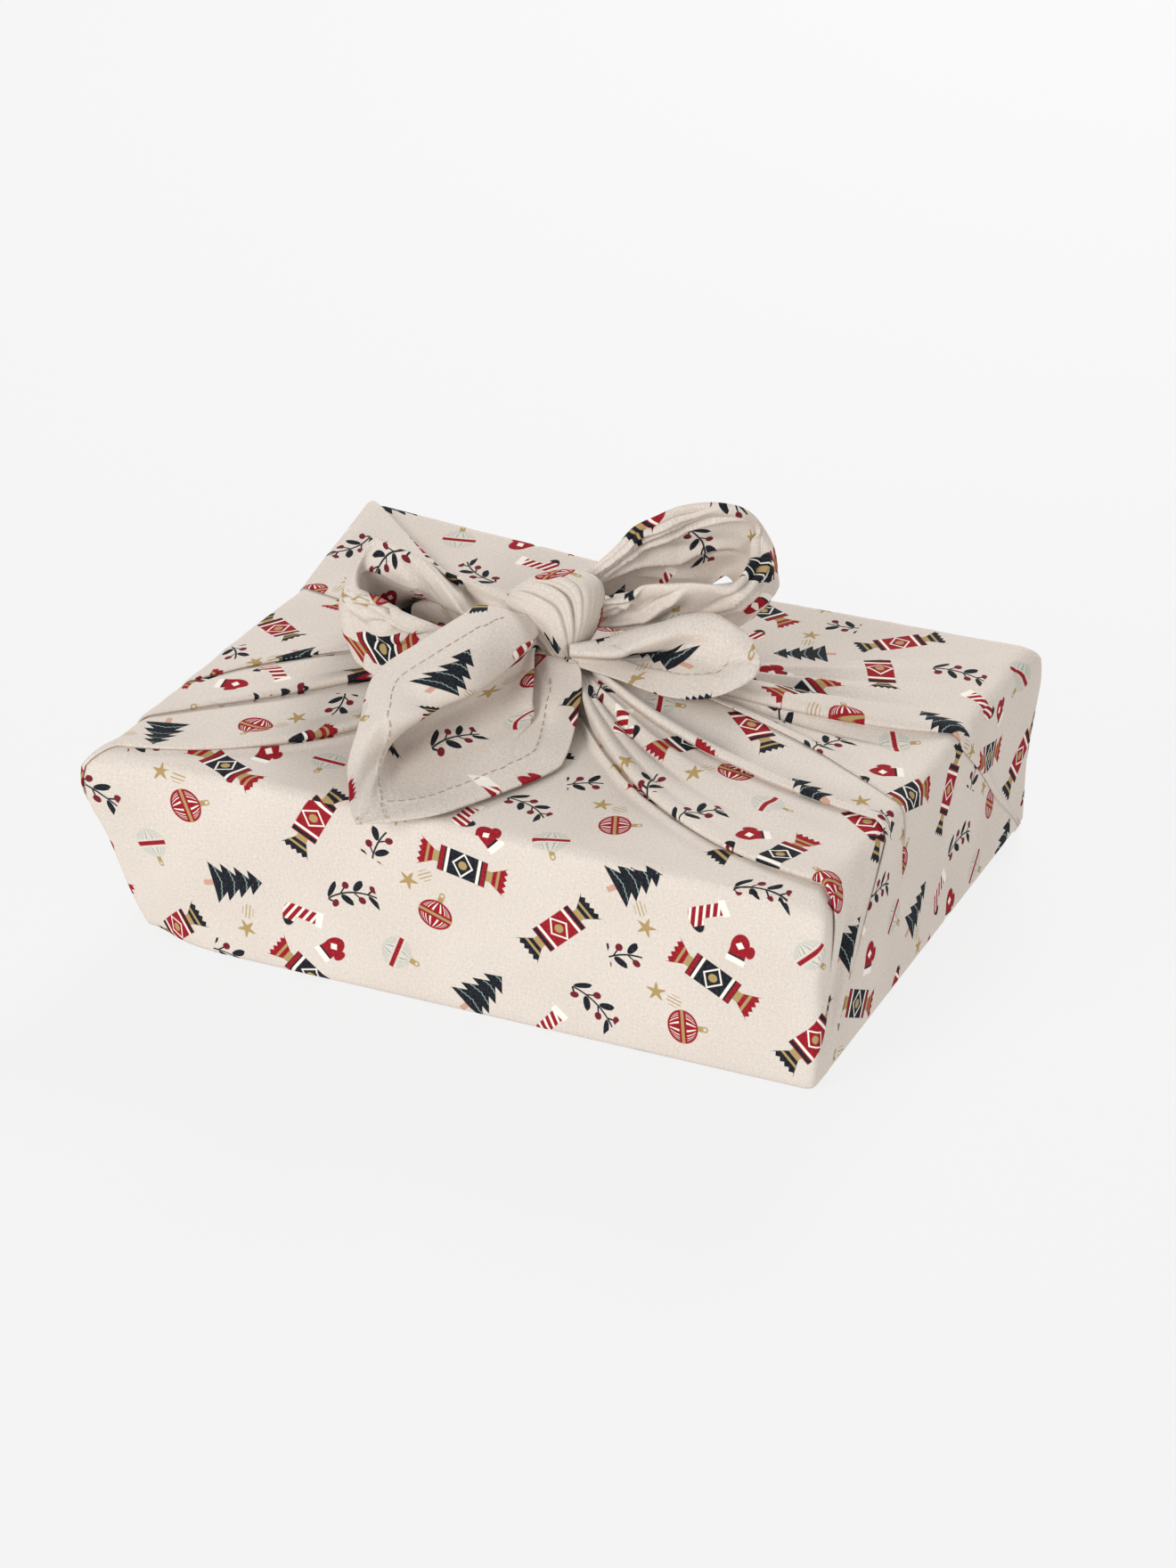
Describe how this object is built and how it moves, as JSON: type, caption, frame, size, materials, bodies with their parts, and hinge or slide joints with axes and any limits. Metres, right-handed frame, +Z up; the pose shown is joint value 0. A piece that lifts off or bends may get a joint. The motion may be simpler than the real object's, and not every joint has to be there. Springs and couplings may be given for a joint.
{
  "type": "furoshiki wrap",
  "caption": "Square printed cotton cloth folded round a flat box and tied on top in a bow with loops and tails.",
  "frame": {"origin": "middle of the bundle's flat base, on the surface that it rests on", "axes": "+Z up, +X along the bundle's long side to the right, +Y to the back, away from the tail that hangs over the near edge"},
  "size_m": [0.2587, 0.2156, 0.1322],
  "materials": {
    "cloth": "plain-weave natural cotton, matt, with a small scattered winter print"
  },
  "bodies": {
    "root": {"furoshiki": "cloth"}
  },
  "joints": []
}
